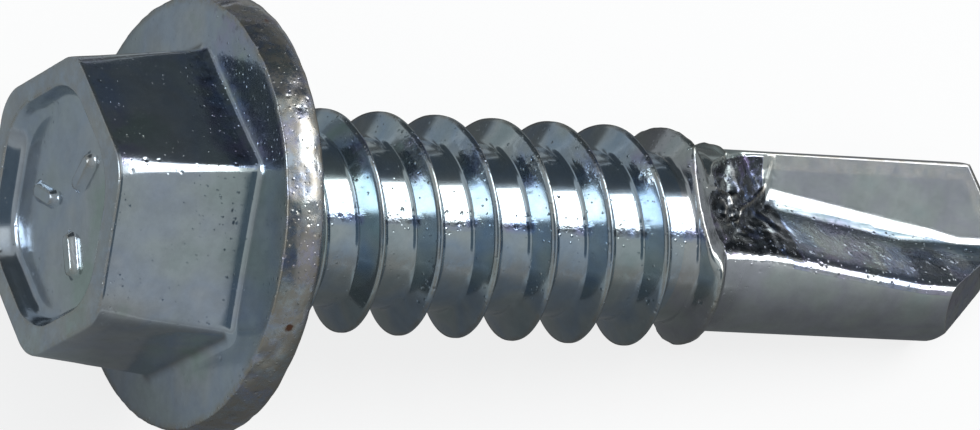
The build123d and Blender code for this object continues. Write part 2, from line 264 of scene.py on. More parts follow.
# Bright zinc plate under a thin clear blue passivate film: a mirror-like grey metal whose film drifts
# from blue to violet and green over a few millimetres. The plating covers pits, grit and die marks
# of 0.05 to 0.15 mm, which break up its reflections, and it is dull and brownish where it has worn.
# Its colour also carries painted shade: darker in the deepest tears, and dull and brownish along a
# border of each cutting face.
def zinc_plate(name, tints, roughness, waves, pits, crumples, streak):
    """Zinc plate on steel that was shaped in one way: its tints, dullness, waves, pits and grain."""
    made = bpy.data.materials.new(name)
    made.use_nodes = True
    tree = made.node_tree
    shader = tree.nodes["Principled BSDF"]
    # What the last steps have marked on each point of the screw, with its place about its own axis.
    read = ("own_mm", "Vector"), ("wear_shade_rust_rough", "Vector"), ("drawn", "Fac"), ("matt", "Fac")
    own, marks, drawn, matt = (
        add(tree, "ShaderNodeAttribute", {}, attribute_name=mark).outputs[result] for mark, result in read)
    wear_and_shade, rust, rough = add(tree, "ShaderNodeSeparateXYZ", {0: marks}).outputs

    def grain(size, detail, jag=0.5, shift=0.0, stretch=1.0):
        """Noise of about one size in millimetres, drawn out along the axis if need be."""
        inputs = {"Vector": own, "Location": (shift, 2 * shift, 0), "Scale": (1, 1, 1 / stretch)}
        inputs = {"Vector": add(tree, "ShaderNodeMapping", inputs).outputs[0]}
        inputs.update({"Scale": 0.5 / size, "Detail": detail, "Roughness": jag})
        return add(tree, "ShaderNodeTexNoise", inputs).outputs[0]

    def sum_of(*terms):
        """The sum of products, each a pair of values."""
        total = 0.0
        for one, other in terms:
            inputs = {0: one, 1: other, 2: total}
            total = add(tree, "ShaderNodeMath", inputs, operation="MULTIPLY_ADD").outputs[0]
        return total

    def share_of(low, high, *terms):
        """How far a sum of products has come from one value to another, as a share from 0 to 1."""
        inputs = {"Value": sum_of(*terms), "From Min": low, "From Max": high}
        return add(tree, "ShaderNodeMapRange", inputs).outputs[0]

    # The film's tint drifts over a few millimetres, and its thickness over a few tenths.
    drift = add(tree, "ShaderNodeValToRGB", {0: share_of(0.3, 0.7, (grain(1.7, 3, 0.55), 1.0))})
    for step in range(1, len(tints) - 1):
        drift.color_ramp.elements.new(step / (len(tints) - 1))
    for stop, tint in zip(drift.color_ramp.elements, tints):
        stop.color = colour(tint)
    clouds = sum_of((share_of(0.36, 0.62, (grain(0.28, 6, 0.7, 3.0), 1.0)), 0.14), (1.0, 0.90))
    # It pools in the rough places, where it shows blue and violet.
    pools = share_of(0.42, 0.58, (grain(0.5, 3, 0.6, 13.0), 1.0))
    pools = sum_of((sum_of((share_of(0.3, 0.8, (rough, 1.0)), 0.8)), pools))
    violet = share_of(0.42, 0.58, (grain(0.9, 2, 0.5, 17.0), 1.0))
    pool_tints = {0: violet, 6: colour("#7f9ddc"), 7: colour("#a38cca")}
    pool_tint = add(tree, "ShaderNodeMix", pool_tints, data_type="RGBA").outputs[2]
    # In the deepest tears the plating is thin and the steel is dark, and the colour there is darkened further
    # as painted shade in the hollows.
    bare_and_shaded = share_of(1.0, 1.28, (rough, 1.0), (grain(0.18, 4, 0.65, 23.0), 0.9))
    # Along the flutes the dies drew the steel into fine dull lines, where the film is thick and teal.
    lines = sum_of((drawn, share_of(0.40, 0.60, (grain(0.10, 3, 0.6, 31.0, 9.0), 1.0))))
    teal = sum_of((drawn, 0.60), (lines, 0.38))
    # Rubbed edges are dull and brownish, and so is the painted shade along each cutting face's border; a few
    # spots have rusted.
    dull_and_shaded = sum_of((wear_and_shade, share_of(0.34, 0.56, (grain(0.22, 5, 0.7, 7.0), 1.0))))
    rusty = share_of(1.05, 1.3, (rust, 1.0), (grain(0.12, 5, 0.7, 11.0), 1.4))
    film = drift.outputs[0]
    for share, coat, blend in (
        (1.0, clouds, "MULTIPLY"),
        (pools, pool_tint, "MIX"),
        (bare_and_shaded, colour("#353b42"), "MIX"),
        (teal, colour("#47646f"), "MIX"),
        (dull_and_shaded, colour("#a29c90"), "MIX"),
        (rusty, colour("#6b4a38"), "MIX"),
    ):
        inputs = {0: share, 6: film, 7: coat}
        film = add(tree, "ShaderNodeMix", inputs, data_type="RGBA", blend_type=blend).outputs[2]
    tree.links.new(film, shader.inputs["Base Color"])
    shader.inputs["Metallic"].default_value = 1.0
    # The metal is dullest where no die burnished it, and the film adds a second, softer sheen.
    dullness = sum_of(
        (grain(0.5, 5, 0.6, 5.0), 0.12), (1.0, roughness - 0.06), (dull_and_shaded, 0.20), (rusty, 0.35),
        (bare_and_shaded, 0.10), (matt, 0.32), (drawn, 0.13), (lines, 0.22))
    tree.links.new(dullness, shader.inputs["Roughness"])
    shader.inputs["Coat Weight"].default_value = 0.35
    shader.inputs["Coat Roughness"].default_value = 0.30

    # Relief in millimetres: slow waves, fine grain, crumpled steel, and pits and grit in patches.
    height = sum_of(
        (grain(0.42, 3, 0.5, 1.0, streak), waves),
        (grain(0.07, 2, 0.5, 2.0, streak), waves * 0.10),
        (grain(0.13, 3, 0.6, 21.0), sum_of((share_of(0.2, 0.7, (rough, 1.0)), crumples))))
    patch = share_of(0.44, 0.66, (grain(0.6, 3, 0.6, 9.0), 1.0), (rough, 0.34), (wear_and_shade, 0.16))
    lift = sum_of((rough, 2.6), (1.0, 1.0))
    grit, wide_pits, fine_pits = (0.075, 0.45, 0, 0.011), (0.13, 0.25, 4, -0.016), (0.05, 0.35, 8, -0.008)
    for size, share, shift, depth in (grit, wide_pits, fine_pits):
        at = add(tree, "ShaderNodeMapping", {"Vector": own, "Location": (shift, shift, shift)}).outputs[0]
        cells = add(tree, "ShaderNodeTexVoronoi", {"Vector": at, "Scale": 0.42 / size})
        chance = add(tree, "ShaderNodeSeparateColor", {0: cells.outputs["Color"]}).outputs[0]
        chosen = share_of(-0.02, 0.02, (patch, share), (chance, -1.0))
        cone = share_of(0.34, 0.0, (cells.outputs["Distance"], 1.0))
        spot = sum_of((sum_of((cone, cone)), chosen))
        height = sum_of((height, 1.0), (spot, sum_of((lift, depth * pits))))
    relief = add(tree, "ShaderNodeBump", {"Height": height, "Distance": 0.001, "Strength": 1.0})
    tree.links.new(relief.outputs[0], shader.inputs["Normal"])
    return made


zinc = {
    # Forged between polished dies: the smoothest, with the widest tints.
    "forged": zinc_plate(
        "zinc_plate_on_forged_steel", ("#acb9b9", "#b4bec2", "#adb8c5", "#b8bec2", "#aab9b2"),
        roughness=0.15, waves=0.0035, pits=0.75, crumples=0.010, streak=1.0),
    # Rolled thread: burnished along the helix, bluer, with grit in the flanks.
    "rolled": zinc_plate(
        "zinc_plate_on_rolled_steel", ("#adbdc3", "#b9c4c7", "#a8bacb", "#b8c3c6", "#adc0c0"),
        roughness=0.13, waves=0.0035, pits=1.2, crumples=0.030, streak=0.7),
    # Pinched point: the steel is drawn along the flutes, matt on the lands, and full of grit.
    "pinched": zinc_plate(
        "zinc_plate_on_pinched_steel", ("#b5c3c2", "#bdc4c3", "#b9bcc3", "#bfc5c4", "#b4c0c3"),
        roughness=0.15, waves=0.0030, pits=1.2, crumples=0.008, streak=2.5),
}

rolling = bpy.data.node_groups.new("rolled_thread", "GeometryNodeTree")
rolling.interface.new_socket("Geometry", in_out="OUTPUT", socket_type="NodeSocketGeometry")
for name, value in THREAD.items():
    kind = "NodeSocketInt" if name in WHOLE else "NodeSocketFloat"
    socket = rolling.interface.new_socket(name, in_out="INPUT", socket_type=kind)
    socket.default_value = value
sizes = {name: socket for name, socket in zip(THREAD, rolling.nodes.new("NodeGroupInput").outputs)}


def reckon(steps):
    """Adds the steps of a sum to the tree: each has a name for its result, an operation and terms."""
    for result, operation, *terms in steps:
        terms = [sizes.get(term, term) if isinstance(term, str) else term for term in terms]
        sizes[result] = add(rolling, "ShaderNodeMath", dict(enumerate(terms)), operation=operation).outputs[0]


# A flat grid is wrapped round the axis as a helix: one column to each column of the head, and rows
# that follow the thread, sheared by one pitch in each turn.
on_grid = add(rolling, "GeometryNodeInputPosition", {}).outputs[0]
on_grid = add(rolling, "ShaderNodeSeparateXYZ", {"Vector": on_grid})
reckon((
    ("columns", "ADD", "Columns", 1),
    ("rows", "MULTIPLY_ADD", "Windings", "Rows in a Turn", 1),
    # How far round the column stands, and how far along the helix the row does, in turns.
    ("round", "ADD", on_grid.outputs[0], 0.5),
    ("turn", "ADD", "round", "First Column"),
    ("along", "ADD", on_grid.outputs[1], 0.5),
    ("wound", "MULTIPLY_ADD", "along", "Windings", -1),
    ("nearest", "ROUND", "wound"),
    ("off", "SUBTRACT", "wound", "nearest"),
    ("side", "SIGN", "off"),
    ("far", "ABSOLUTE", "off"),
    # Rows stand close together on the crest and the flanks, and further apart on the root.
    ("half crest", "DIVIDE", "Crest Width", 2),
    ("depth", "SUBTRACT", "Crest Radius", "Root Radius"),
    ("flank", "MULTIPLY", "depth", "Flank Tangent"),
    ("one row", "DIVIDE", 1, "Rows in a Turn"),
    ("flank rows", "MULTIPLY", "one row", 4),
    ("ridge rows", "MULTIPLY", "one row", 5),
    ("root rows", "SUBTRACT", 0.5, "ridge rows"),
    ("on crest", "MINIMUM", "far", "one row"),
    ("crest share", "DIVIDE", "on crest", "one row"),
    ("past crest", "SUBTRACT", "far", "on crest"),
    ("on flank", "MINIMUM", "past crest", "flank rows"),
    ("flank share", "DIVIDE", "on flank", "flank rows"),
    ("flank squared", "MULTIPLY", "flank share", "flank share"),
    ("flank share", "MULTIPLY_ADD", "flank share", -2, 3),
    ("flank share", "MULTIPLY", "flank share", "flank squared"),
    ("on root", "SUBTRACT", "past crest", "on flank"),
    ("root share", "DIVIDE", "on root", "root rows"),
    ("root share", "POWER", "root share", 2.4),
    ("half pitch", "DIVIDE", "Pitch", 2),
    ("foot", "ADD", "half crest", "flank"),
    ("root run", "SUBTRACT", "half pitch", "foot"),
    ("from crest", "MULTIPLY", "crest share", "half crest"),
    ("from crest", "MULTIPLY_ADD", "flank share", "flank", "from crest"),
    ("from crest", "MULTIPLY_ADD", "root share", "root run", "from crest"),
    ("from crest", "MULTIPLY", "from crest", "side"),
    ("helix", "SUBTRACT", "turn", "Helix Turn"),
    ("crest turn", "ADD", "helix", "nearest"),
    ("station", "MULTIPLY_ADD", "crest turn", "Pitch", "from crest"),
    ("station", "MAXIMUM", "station", "Start"),
    ("station", "MINIMUM", "station", "End"),
    # The thread's height at that station, with its lead in.
    ("here", "DIVIDE", "station", "Pitch"),
    ("here", "SUBTRACT", "here", "helix"),
    ("crest here", "ROUND", "here"),
    ("off", "SUBTRACT", "here", "crest here"),
    ("off", "ABSOLUTE", "off"),
    ("off", "MULTIPLY", "off", "Pitch"),
    ("off", "SUBTRACT", "off", "half crest"),
    ("off", "MAXIMUM", "off", 0),
    ("drop", "DIVIDE", "off", "Flank Tangent"),
    ("ridge", "SUBTRACT", "Crest Radius", "drop"),
    ("started", "SUBTRACT", "station", "Lead In Start"),
    ("lead", "MULTIPLY_ADD", "started", "Lead In Slope", "Lead In Radius"),
    ("ridge", "SMOOTH_MIN", "ridge", "lead", "Lead In Blend"),
    # The shank at the thread root, with the round under the flange.
    ("under", "SUBTRACT", "Underhead Round", "station"),
    ("under", "MAXIMUM", "under", 0),
    ("under", "MULTIPLY", "under", "under"),
    ("round squared", "MULTIPLY", "Underhead Round", "Underhead Round"),
    ("under", "SUBTRACT", "round squared", "under"),
    ("under", "SQRT", "under"),
    ("core", "ADD", "Root Radius", "Underhead Round"),
    ("core", "SUBTRACT", "core", "under"),
    ("radius", "SMOOTH_MAX", "ridge", "core", "Root Blend"),
    ("angle", "MULTIPLY", "turn", 2 * pi),
    ("cosine", "COSINE", "angle"),
    ("sine", "SINE", "angle"),
))
inputs = {"Vertices X": sizes["columns"], "Vertices Y": sizes["rows"]}
flat_grid = add(rolling, "GeometryNodeMeshGrid", inputs).outputs["Mesh"]
# The dies leave the thread's height wandering by about a hundredth of a millimetre and its root by
# less, and nothing of that where the shank meets the point.
around = add(rolling, "ShaderNodeCombineXYZ", {0: sizes["cosine"], 1: sizes["sine"], 2: sizes["station"]})
inputs = {"Vector": around.outputs[0], "W": sizes["Seed"], "Scale": 1.6, "Detail": 3.0}
wander = add(rolling, "ShaderNodeTexNoise", inputs, noise_dimensions="4D").outputs[0]
reckon((
    ("wander", "SUBTRACT", wander, 0.5),
    ("height", "SUBTRACT", "radius", "Root Radius"),
    ("height", "MAXIMUM", "height", 0),
    ("height", "ADD", "height", 0.25),
    ("wander", "MULTIPLY", "wander", "height"),
    ("wander", "MULTIPLY", "wander", "Wander"),
    ("left", "SUBTRACT", "End", "station"),
    ("left", "MULTIPLY", "left", 2),
    ("left", "MINIMUM", "left", 4),
    ("wander", "MULTIPLY", "wander", "left"),
    ("radius", "ADD", "radius", "wander"),
    ("across", "MULTIPLY", "radius", "cosine"),
    ("up", "MULTIPLY", "radius", "sine"),
))
rolled_at = add(rolling, "ShaderNodeCombineXYZ", {0: sizes["across"], 1: sizes["up"], 2: sizes["station"]})
thread = flat_grid
for kind, inputs in (
    ("GeometryNodeSetPosition", {"Position": rolled_at.outputs[0]}),
    ("GeometryNodeMergeByDistance", {"Distance": 0.0005}),
    ("GeometryNodeRealizeInstances", {}),
    ("GeometryNodeSetMaterial", {"Material": zinc["rolled"]}),
):
    thread = add(rolling, kind, {"Geometry": thread, **inputs}).outputs[0]
add(rolling, "NodeGroupOutput", {"Geometry": thread})


def placed(name, data):
    """A new object in the scene, made of a mesh, a lamp or a lens."""
    made = bpy.data.objects.new(name, data)
    bpy.context.scene.collection.objects.link(made)
    return made


blank = placed("rolled_thread", bpy.data.meshes.new("rolled_thread"))
turned_on = blank.modifiers.new("rolling", "NODES")
turned_on.node_group = rolling
for item in rolling.interface.items_tree:
    if item.in_out == "INPUT":
        turned_on[item.identifier] = THREAD[item.name]
rolled = bpy.data.meshes.new_from_object(blank.evaluated_get(bpy.context.evaluated_depsgraph_get()))
bpy.data.objects.remove(blank)
rolled_points = np.zeros(3 * len(rolled.vertices))
rolled.vertices.foreach_get("co", rolled_points)
rolled_points = rolled_points.reshape(-1, 3)
rolled_faces = [list(face.vertices) for face in rolled.polygons]


def end_ring(station):
    """Indices of the points on one end of the rolled thread, in the order of the columns."""
    found = np.flatnonzero(np.abs(rolled_points[:, 2] - station) < 1e-4)
    turns = np.degrees(np.arctan2(rolled_points[found, 1], rolled_points[found, 0]))
    # Rounding may put the first column just before its turn, and the 0.3 degrees keep it first.
    return found[np.argsort((turns - FIRST_TURN + 0.3) % 360)]


first_ring, last_ring = end_ring(THREAD["Start"]), end_ring(THREAD["End"])

# The drill point. Two dies pinch the end of the wire into two straight flutes with a thin web, and
# shear off the waste at the cutting edges. Each flute closes in a ramp under the last turn of thread.
DRILL_RADIUS, DRILL_START, DRILL_NECK, DRILL_CORNER = 2.59, 14.70, 0.35, 23.80
LIP_OFFSET, LIP_ANGLE, LIP_RELIEF = 0.58, radians(59.0), radians(12.0)
HEEL_OFFSET, HEEL_RELIEF = 0.30, radians(42.0)
NOSE_START, NOSE_ANGLE, NOSE_OFFSET = 22.83, radians(42.4), 0.46
FLUTE_WALL = radians(51.0)
VALLEY_LINE = (16.5, 18.8, 20.6, 22.5, 23.5), (1.70, 1.32, 1.01, 0.68, 0.42)
WIDE_BEND = (16.6, 19.0, 21.4, 22.4, 23.5), (1.30, 1.35, 1.30, 0.9, 0.4)
TIGHT_BEND, TIGHT_FROM = 0.35, radians(27.0)
BEND_TURNS = np.radians((*range(0, 28, 3), *range(31, 52, 4)))
RAMP_SLOPE, RAMP_TURN, RAMP_START, RAMP_ROUND = radians(26.8), radians(70.3), 13.78, 0.12
THREAD_FADE, FADE_SLOPE, LAST_FADE, LAST_SLOPE = 13.65, 0.285, 15.3, 0.85
# Lengths that reach past the wire on all sides.
PAST_WIRE, FAR_OFF = 9, 99
# The torn steel round the ramps, which may stand a little proud of the wire, burrs along lines of
# (turn, station) with their height and width, and hollows at a turn and station, with their size
# and depth. All of these are measured at one distance from the axis.
TORN_DEPTH, TORN_SIZE, TORN_EDGE, PROUD = 0.07, 0.5, 0.12, 0.03
TORN_LENGTH = (14.1, 14.8, 16.9, 17.5), (0, 1, 1, 0)
BURR = ((14.0, 17.2), (46.5, 16.26), (60.5, 15.69), (74.6, 15.42)), 0.17, 0.085
LIP_BURR = ((54.0, 14.3), (50.0, 15.3), (74.6, 15.42)), 0.10, 0.07
HOLLOWS = (34.0, 15.2, 0.50, 0.34), (65.7, 14.75, 0.32, 0.24), (66.0, 15.35, 0.20, 0.14)
MARK_REACH = 2.2
# Columns of each half turn on the cutting face and on the flute's wall. The rest are on the land.
RAKE_COLUMNS, WALL_COLUMNS, MARGIN_COLUMN = 28, 42, -2
RAMP_STEP, BODY_STEP, LAST_RING = 0.06, 0.12, 22.0
GATHER_START, GATHER_LENGTH, VALLEY_INSET = 14.2, 2.6, 0.1
margin_reach = (DRILL_RADIUS**2 - LIP_OFFSET**2)**0.5
half_columns = COLUMNS // 2


def soft_max(a, b, width):
    """The larger of two values, rounded where they meet."""
    near = np.maximum(width - np.abs(a - b), 0) / width
    return np.maximum(a, b) + near**3 * width / 6


def flute_outline(station):
    """Points across a flute's section: from the cutting face through the valley and up the wall."""
    x, y = np.interp(station, *VALLEY_LINE), LIP_OFFSET + 0 * station
    outline = [(x + PAST_WIRE, y), (x, y)]
    for before, after in zip(BEND_TURNS, BEND_TURNS[1:]):
        bend = np.interp(station, *WIDE_BEND) if before < TIGHT_FROM else TIGHT_BEND
        x, y = x - bend * (sin(after) - sin(before)), y + bend * (cos(before) - cos(after))
        outline.append((x, y))
    return [*outline, (x - PAST_WIRE * cos(FLUTE_WALL), y + PAST_WIRE * sin(FLUTE_WALL))]


def heel_turn(station):
    """Turn of the edge between a flute's wall and the land."""
    x, y = flute_outline(station)[-2]
    off_axis = (x * sin(FLUTE_WALL) + y * cos(FLUTE_WALL)) / DRILL_RADIUS
    return pi / 2 - FLUTE_WALL + np.arccos(np.clip(off_axis, -1, 1))


def wire_radius(turn, station):
    """The wire before it is pinched: thread root, drill body and the last of the thread."""
    neck = np.interp(station, (DRILL_START - DRILL_NECK, DRILL_START), (ROOT_RADIUS, DRILL_RADIUS))
    wound = station / THREAD["Pitch"] - turn / 360 + THREAD["Helix Turn"]
    off = np.maximum(np.abs(wound - np.round(wound)) * THREAD["Pitch"] - THREAD["Crest Width"] / 2, 0)
    ridge = THREAD["Crest Radius"] - off / THREAD["Flank Tangent"]
    fade = THREAD["Crest Radius"] + SUNK - FADE_SLOPE * np.maximum(station - THREAD_FADE, 0)
    fade = fade - (LAST_SLOPE - FADE_SLOPE) * np.maximum(station - LAST_FADE, 0)
    return soft_max(np.minimum(ridge, fade), neck, THREAD["Root Blend"])


def flute_radius(turn, station):
    """What one flute leaves of the wire: cutting face, rounded valley, wall and ramp."""
    angle = np.radians((turn + 90) % 360 - 90)
    outline = flute_outline(station)
    groove = np.full(np.shape(angle), np.inf)
    with np.errstate(divide="ignore", invalid="ignore"):
        for (x, y), (next_x, next_y) in zip(outline, outline[1:]):
            facing = np.cos(angle) * (next_y - y) - np.sin(angle) * (next_x - x)
            met = (angle >= np.arctan2(y, x)) & (angle < np.arctan2(next_y, next_x)) & (facing > 0)
            groove = np.where(met, (x * next_y - y * next_x) / facing, groove)
        facing = np.cos(angle - RAMP_TURN)
        up = DRILL_RADIUS * cos(RAMP_SLOPE) + RAMP_START * sin(RAMP_SLOPE)
        ramp = np.where(facing > 0, (up - station * sin(RAMP_SLOPE)) / (cos(RAMP_SLOPE) * facing), np.inf)
    return soft_max(np.minimum(groove, FAR_OFF), np.clip(ramp, -FAR_OFF, FAR_OFF), RAMP_ROUND)


def point_radius(turn, station):
    """The finished point's side at a turn and station."""
    flutes = np.minimum(flute_radius(turn, station), flute_radius(turn - 180, station))
    return np.minimum(wire_radius(turn, station), flutes)


def point_end(x, y):
    """Height of the two flanks, their heels and the blunted nose over a place on the cross section."""
    lowest = NOSE_START + (DRILL_RADIUS + NOSE_OFFSET - np.hypot(x - NOSE_OFFSET, y)) / tan(NOSE_ANGLE)
    heel_edge = DRILL_CORNER - (LIP_OFFSET + HEEL_OFFSET) * tan(LIP_RELIEF)
    faces = (LIP_OFFSET, DRILL_CORNER, LIP_RELIEF), (-HEEL_OFFSET, heel_edge, HEEL_RELIEF)
    for flip in (1, -1):
        for offset, edge, relief in faces:
            along = (margin_reach - flip * x) / tan(LIP_ANGLE)
            behind = (flip * y - offset) * tan(relief) / sin(LIP_ANGLE)
            lowest = np.minimum(lowest, edge + along + behind)
    return lowest


def point_turns(station):
    """Turn of each column: even at the thread, gathered on the flutes' edges along the point."""
    station = np.broadcast_to(station, (COLUMNS,))
    foot, heel = np.interp(station, *VALLEY_LINE) - VALLEY_INSET, heel_turn(station)
    step = (np.arange(COLUMNS) - MARGIN_COLUMN) % half_columns
    lap = 180 * ((np.arange(COLUMNS) - MARGIN_COLUMN) // half_columns)
    past_wall = step - RAKE_COLUMNS - WALL_COLUMNS
    rake_share = np.clip(step / RAKE_COLUMNS, 0, 1)
    wall_share = np.clip((step - RAKE_COLUMNS) / WALL_COLUMNS, 0, 1)
    land_share = np.clip(past_wall / (half_columns - RAKE_COLUMNS - WALL_COLUMNS), 0, 1)
    x = margin_reach + rake_share * (foot - margin_reach) + wall_share * (DRILL_RADIUS * np.cos(heel) - foot)
    y = LIP_OFFSET + wall_share * (DRILL_RADIUS * np.sin(heel) - LIP_OFFSET)
    margin, heel = degrees(atan(LIP_OFFSET / margin_reach)), np.degrees(heel)
    on_land = heel + land_share * (180 + margin - heel)
    gathered = np.where(land_share > 0, on_land, np.degrees(np.arctan2(y, x))) + lap
    share = np.clip((station - GATHER_START) / GATHER_LENGTH, 0, 1)
    return even_columns + share * share * (3 - 2 * share) * (gathered - even_columns)


def point_row(station):
    """One row of the point, torn and pocketed where the ramps were pinched out."""
    turns = point_turns(station)
    reach = point_radius(turns, station)
    whole = wire_radius(turns, station)
    cut = np.clip((whole - reach) / TORN_EDGE, 0, 1) * np.interp(station, *TORN_LENGTH)
    row = ring(turns, reach, station)
    for place in np.flatnonzero(cut > 0):
        torn = TORN_DEPTH * noise.fractal(Vector(row[place]) / TORN_SIZE, 0.8, 2.0, 2)
        here = np.array([radians(turns[place] % 180) * MARK_REACH, row[place, 2]])
        relief = torn
        for marks, height, width in (BURR, LIP_BURR):
            line = np.array([(radians(mark) * MARK_REACH, along) for mark, along in marks])
            for start, end in zip(line, line[1:]):
                share = np.clip(np.dot(here - start, end - start) / np.dot(end - start, end - start), 0, 1)
                off = np.linalg.norm(here - start - share * (end - start))
                relief = max(relief, height * np.exp(-(off / width)**2) + torn * min(1, off / width))
        for mark, along, size, depth in HOLLOWS:
            off = np.hypot(here[0] - radians(mark) * MARK_REACH, here[1] - along)
            relief -= depth * np.exp(-(off / size)**4)
        reach[place] = min(reach[place] + cut[place] * relief, whole[place] + PROUD)
    return ring(turns, reach, station)


# Each column runs up to the station where it meets the end of the point, found by halving.
low, high = np.full(COLUMNS, 21.0), np.full(COLUMNS, 27.0)
for _ in range(40):
    middle = (low + high) / 2
    x, y, _z = point_row(middle).T
    below = point_end(x, y) > middle
    low, high = np.where(below, middle, low), np.where(below, high, middle)
side_end = (low + high) / 2
# Rows stand close together round the ramps, and are even rings up to the last one below the end.
stations = [*np.arange(THREAD["End"] + RAMP_STEP, 17.57, RAMP_STEP), *np.arange(17.63, 21.95, BODY_STEP)]
stations += [LAST_RING + share * (side_end - LAST_RING) for share in np.linspace(0, 1, 17)]
# The dies roll the heel of each flute over into a round shoulder, and leave the cutting edge sharp.
grid = np.stack([point_row(station) for station in stations])
from_heel = np.arange(COLUMNS) - MARGIN_COLUMN - RAKE_COLUMNS - WALL_COLUMNS
from_heel = np.abs((from_heel + COLUMNS // 4) % half_columns - COLUMNS // 4)
rolled_over = np.interp(from_heel, (5, 11), (0.5, 0))[None, :, None]
for _ in range(24):
    grid += rolled_over * ((np.roll(grid, 1, 1) + np.roll(grid, -1, 1)) / 2 - grid)
point_rings = list(grid)
edge_x, edge_y, _z = point_rings[-1].T
for share in (0.985, *np.linspace(0.96, 0, 25)[:-1]):
    x, y = share * edge_x, share * edge_y
    point_rings.append(np.stack([x, y, point_end(x, y)], 1))
point_pole = np.array([[0.0, 0.0, point_end(0.0, 0.0)]])

# The screw in one piece: head, thread and point are welded along their end rows, so it is one closed
# skin with no seam, as one piece of wire has. It comes to rest on the rim of its flange and on the
# point, rolled until two corners of a flute touch down.
TILT, ROLL = radians(11.05), radians(64.7139)
# Where the middle of the bearing face lies in the frame, in millimetres.
SEAT = np.array([-9.38393, -0.00385, FLANGE_RADIUS * cos(TILT) - REAR_ROUND * sin(TILT)])
# Directions in the frame of the axis, from head to point, and of turns 0 and 90 round it.
AXIS = np.array([cos(TILT), 0, -sin(TILT)])
RISE = np.array([sin(TILT) * cos(ROLL), sin(ROLL), cos(TILT) * cos(ROLL)])
SIDE = np.cross(AXIS, RISE)
points = [rolled_points]
count = len(rolled_points)
faces, finish = list(rolled_faces), ["rolled"] * len(rolled_faces)


def stitch(rows, start_row, pole, kind):
    """Adds rows of points, the faces between them from a row that is already there, and a pole."""
    global count
    before = start_row
    for row in rows:
        points.append(row)
        now = np.arange(count, count + COLUMNS)
        count += COLUMNS
        faces.extend(np.stack([before, np.roll(before, -1), np.roll(now, -1), now], 1).tolist())
        finish.extend([kind] * COLUMNS)
        before = now
    points.append(pole)
    faces.extend([[int(a), int(b), count] for a, b in zip(before, np.roll(before, -1))])
    finish.extend([kind] * COLUMNS)
    count += 1


stitch(head_rings[1:], first_ring, head_pole, "forged")
stitch(point_rings, last_ring, point_pole, "pinched")
own = np.concatenate(points)
laid = (SEAT + own @ np.array([RISE, SIDE, AXIS])) / 1000
skin = bpy.data.meshes.new("self_drilling_screw")
skin.from_pydata(laid.tolist(), [], faces)
skin.validate()
kinds = list(zinc)
for kind in kinds:
    skin.materials.append(zinc[kind])
skin.polygons.foreach_set("material_index", [kinds.index(kind) for kind in finish])
sewn = bmesh.new()
sewn.from_mesh(skin)
bmesh.ops.recalc_face_normals(sewn, faces=sewn.faces)
sewn.to_mesh(skin)
sewn.free()
skin.shade_smooth()

# What a screw picks up on its way: dulled edges, where the plating has rubbed in the box, rust in a
# few spots, and rough places where the dies tore the steel. A band of painted shade along each
# cutting face's border is marked with the dulled edges. Each is marked on the points of its skin,
# where the zinc plate reads it.
normals = np.zeros(3 * len(skin.vertices))
skin.vertex_normals.foreach_get("vector", normals)
outward = normals.reshape(-1, 3) @ np.array([RISE, SIDE, AXIS]).T
ends = np.zeros(2 * len(skin.edges), dtype=int)
skin.edges.foreach_get("vertices", ends)
one, other = ends.reshape(-1, 2).T
run = own[other] - own[one]
length = np.maximum(np.linalg.norm(run, axis=1), 1e-4)
bulge, edges_met = np.zeros(len(own)), np.zeros(len(own))
for here, way in ((one, -1), (other, 1)):
    np.add.at(bulge, here, way * (run * outward[here]).sum(1) / length)
    np.add.at(edges_met, here, 1)
bulge = np.clip(bulge / edges_met * 4, 0, 1)
radius, station = np.hypot(own[:, 0], own[:, 1]), own[:, 2]
turn = np.degrees(np.arctan2(own[:, 1], own[:, 0]))
half_turn = np.radians(turn % 180)
across = radius * np.cos(half_turn)
# Where the points are: on the rim, the top of the head, its upper side, the thread or the point.
rim = np.clip((radius - 5.75) / 0.2, 0, 1) * (station < 0.05)
top_land = (station < 0.06 - HEX_TOP) * 1.0
upper_side = ((turn - FIRST_TURN) % 360 < 60) * (radius > 3.3) * (radius < 5.9)
upper_side = upper_side * (station < -1.1) * (station > 0.1 - HEX_TOP)
on_thread = (station > 0.3) * (station < 14.0)
on_point = station > 16.9
on_face = on_point * (np.abs(radius * np.sin(half_turn) - LIP_OFFSET) < 0.06) * (half_turn < pi / 2)
on_land = on_point * (radius > DRILL_RADIUS - 0.02)
on_wall = on_point * (1 - on_face) * (1 - on_land)
# Edges are worn. A border of the cutting face along the margin and the lip is marked with them as painted
# shade, darkening the band where a narrow bevel would turn away from the light.
to_lip = (DRILL_CORNER + (margin_reach - across) / tan(LIP_ANGLE) - station) * sin(LIP_ANGLE)
bevel_shade_border = np.maximum(np.clip((across - 2.03) / 0.06, 0, 1), np.clip((0.48 - to_lip) / 0.06, 0, 1))
wear_and_shade = np.clip(0.75 * bulge + 0.75 * rim + 0.35 * top_land + 0.4 * on_face * bevel_shade_border, 0, 1)
# Oil and dust leave a faint brown line along the root, on the side that lay down.
stain = np.exp(-((turn - 120) / 9)**2)
wear_and_shade += 0.45 * stain * on_thread * (radius < 2.5)
